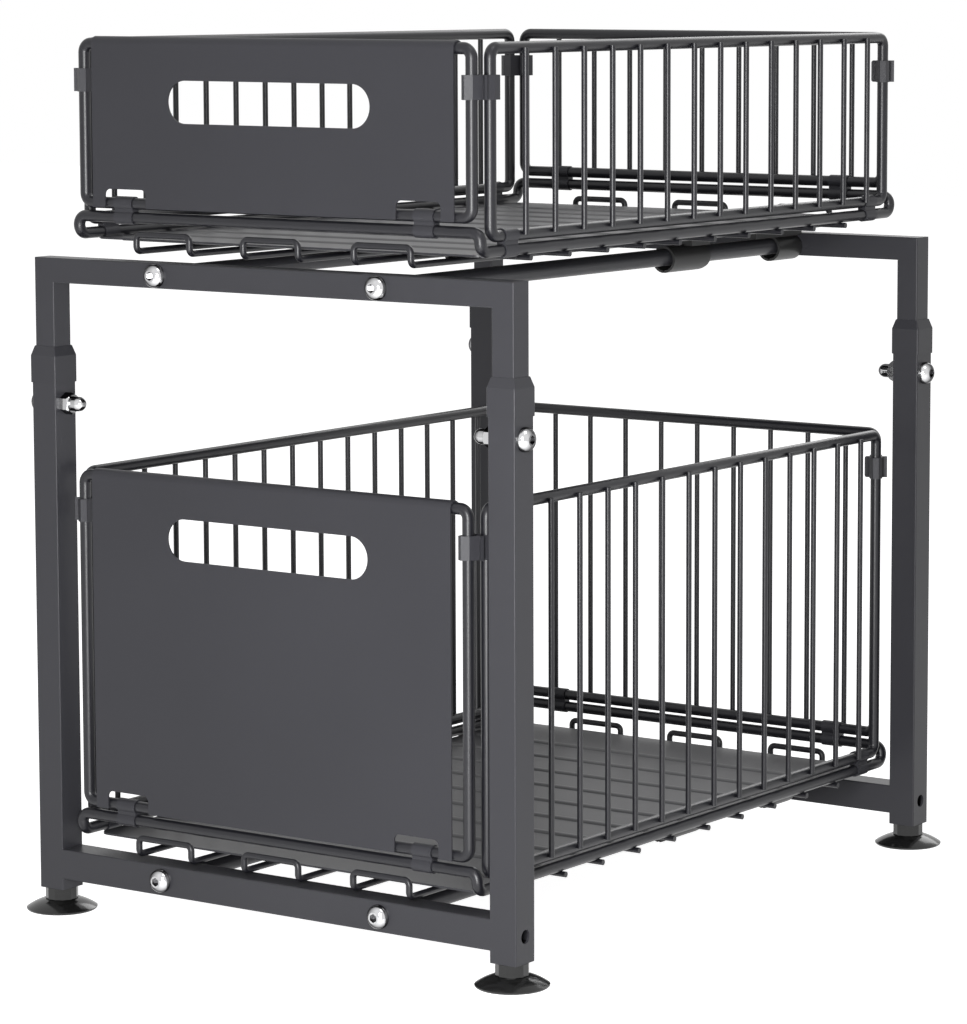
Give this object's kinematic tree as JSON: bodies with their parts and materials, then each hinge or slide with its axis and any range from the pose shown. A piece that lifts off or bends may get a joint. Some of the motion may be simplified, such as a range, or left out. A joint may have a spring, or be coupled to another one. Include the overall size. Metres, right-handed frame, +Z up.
{
  "type": "expandable cabinet shelf",
  "caption": "Tiered rack of square tube with telescoping legs, levelling feet and wire baskets that slide forward on round rods, with fold-down side walls.",
  "frame": {"origin": "centre of the four feet, on the floor", "axes": "+X to the right and +Y to the back seen from the drawers' front, +Z up"},
  "size_m": [0.3314, 0.4276, 0.4622],
  "materials": {
    "frame_coat": "semi-gloss powder coat",
    "basket_coat": "semi-gloss powder coat",
    "bright_fastener": "bright plated",
    "black_plastic": "moulded, slightly glossy",
    "liner_sheet": "smooth satin sheet"
  },
  "bodies": {
    "lower_frame": {"lower_front_frame": "frame_coat", "lower_back_frame": "frame_coat", "lower_rod_left": "frame_coat", "lower_rod_right": "frame_coat", "lower_rod_inserts": "bright_fastener", "lower_rail_bolts": "bright_fastener", "collar_front_left": "black_plastic", "collar_front_right": "black_plastic", "collar_back_left": "black_plastic", "collar_back_right": "black_plastic", "lock_bolts": "bright_fastener", "cap_nuts": "bright_fastener", "foot_inserts": "black_plastic"},
    "upper_frame": {"upper_front_frame": "frame_coat", "upper_back_frame": "frame_coat", "upper_rod_left": "frame_coat", "upper_rod_right": "frame_coat", "upper_rod_inserts": "bright_fastener", "upper_rail_bolts": "bright_fastener"},
    "upper_drawer": {"upper_base_ring": "basket_coat", "upper_cross_wires": "basket_coat", "upper_floor_loops": "basket_coat", "upper_liner": "liner_sheet", "upper_runner_guides": "black_plastic", "upper_front_ring": "basket_coat", "upper_front_panel": "basket_coat", "upper_back_wall": "basket_coat", "upper_front_hinge_clips": "basket_coat", "upper_back_hinge_clips": "basket_coat", "upper_side_hinge_clips": "basket_coat", "upper_corner_clips": "basket_coat"},
    "upper_left_wall": {"upper_left_wall": "basket_coat"},
    "upper_right_wall": {"upper_right_wall": "basket_coat"},
    "lower_drawer": {"lower_base_ring": "basket_coat", "lower_cross_wires": "basket_coat", "lower_floor_loops": "basket_coat", "lower_liner": "liner_sheet", "lower_runner_guides": "black_plastic", "lower_front_ring": "basket_coat", "lower_front_panel": "basket_coat", "lower_back_wall": "basket_coat", "lower_front_hinge_clips": "basket_coat", "lower_back_hinge_clips": "basket_coat", "lower_side_hinge_clips": "basket_coat", "lower_corner_clips": "basket_coat"},
    "lower_left_wall": {"lower_left_wall": "basket_coat"},
    "lower_right_wall": {"lower_right_wall": "basket_coat"},
    "foot_pad_front_left": {"foot_pad_front_left": "black_plastic"},
    "foot_stem_front_left": {"foot_stem_front_left": "black_plastic"},
    "foot_pad_front_right": {"foot_pad_front_right": "black_plastic"},
    "foot_stem_front_right": {"foot_stem_front_right": "black_plastic"},
    "foot_pad_back_left": {"foot_pad_back_left": "black_plastic"},
    "foot_stem_back_left": {"foot_stem_back_left": "black_plastic"},
    "foot_pad_back_right": {"foot_pad_back_right": "black_plastic"},
    "foot_stem_back_right": {"foot_stem_back_right": "black_plastic"}
  },
  "joints": [
    {"name": "height_adjust", "type": "slide", "parent": "lower_frame", "child": "upper_frame", "axis": [0, 0, 1], "range_m": [0, 0.12]},
    {"name": "upper_drawer_slide", "type": "slide", "parent": "upper_frame", "child": "upper_drawer", "axis": [0, -1, 0], "range_m": [0, 0.23]},
    {"name": "upper_left_wall_fold", "type": "hinge", "parent": "upper_drawer", "child": "upper_left_wall", "pos_m": [-0.1285, 0, 0.3672], "axis": [0, 1, 0], "range_deg": [0, 90]},
    {"name": "upper_right_wall_fold", "type": "hinge", "parent": "upper_drawer", "child": "upper_right_wall", "pos_m": [0.1285, 0, 0.3672], "axis": [0, -1, 0], "range_deg": [0, 90]},
    {"name": "lower_drawer_slide", "type": "slide", "parent": "lower_frame", "child": "lower_drawer", "axis": [0, -1, 0], "range_m": [0, 0.23]},
    {"name": "lower_left_wall_fold", "type": "hinge", "parent": "lower_drawer", "child": "lower_left_wall", "pos_m": [-0.1285, 0, 0.0524], "axis": [0, 1, 0], "range_deg": [0, 83]},
    {"name": "lower_right_wall_fold", "type": "hinge", "parent": "lower_drawer", "child": "lower_right_wall", "pos_m": [0.1285, 0, 0.0524], "axis": [0, -1, 0], "range_deg": [0, 90]},
    {"name": "foot_slide_front_left", "type": "slide", "parent": "lower_frame", "child": "foot_pad_front_left", "axis": [0, 0, -1], "range_m": [0, 0.012]},
    {"name": "foot_turn_front_left", "type": "hinge", "parent": "foot_pad_front_left", "child": "foot_stem_front_left", "pos_m": [-0.147, -0.195, 0.009], "axis": [0, 0, -1], "range_deg": [0, 3456]},
    {"name": "foot_slide_front_right", "type": "slide", "parent": "lower_frame", "child": "foot_pad_front_right", "axis": [0, 0, -1], "range_m": [0, 0.012]},
    {"name": "foot_turn_front_right", "type": "hinge", "parent": "foot_pad_front_right", "child": "foot_stem_front_right", "pos_m": [0.147, -0.195, 0.009], "axis": [0, 0, -1], "range_deg": [0, 3456]},
    {"name": "foot_slide_back_left", "type": "slide", "parent": "lower_frame", "child": "foot_pad_back_left", "axis": [0, 0, -1], "range_m": [0, 0.012]},
    {"name": "foot_turn_back_left", "type": "hinge", "parent": "foot_pad_back_left", "child": "foot_stem_back_left", "pos_m": [-0.147, 0.195, 0.009], "axis": [0, 0, -1], "range_deg": [0, 3456]},
    {"name": "foot_slide_back_right", "type": "slide", "parent": "lower_frame", "child": "foot_pad_back_right", "axis": [0, 0, -1], "range_m": [0, 0.012]},
    {"name": "foot_turn_back_right", "type": "hinge", "parent": "foot_pad_back_right", "child": "foot_stem_back_right", "pos_m": [0.147, 0.195, 0.009], "axis": [0, 0, -1], "range_deg": [0, 3456]}
  ],
  "couplings": [
    {"joint": "foot_turn_front_left", "follows": "foot_slide_front_left", "rad_per_m": 5026.5},
    {"joint": "foot_turn_front_right", "follows": "foot_slide_front_right", "rad_per_m": 5026.5},
    {"joint": "foot_turn_back_left", "follows": "foot_slide_back_left", "rad_per_m": 5026.5},
    {"joint": "foot_turn_back_right", "follows": "foot_slide_back_right", "rad_per_m": 5026.5}
  ]
}
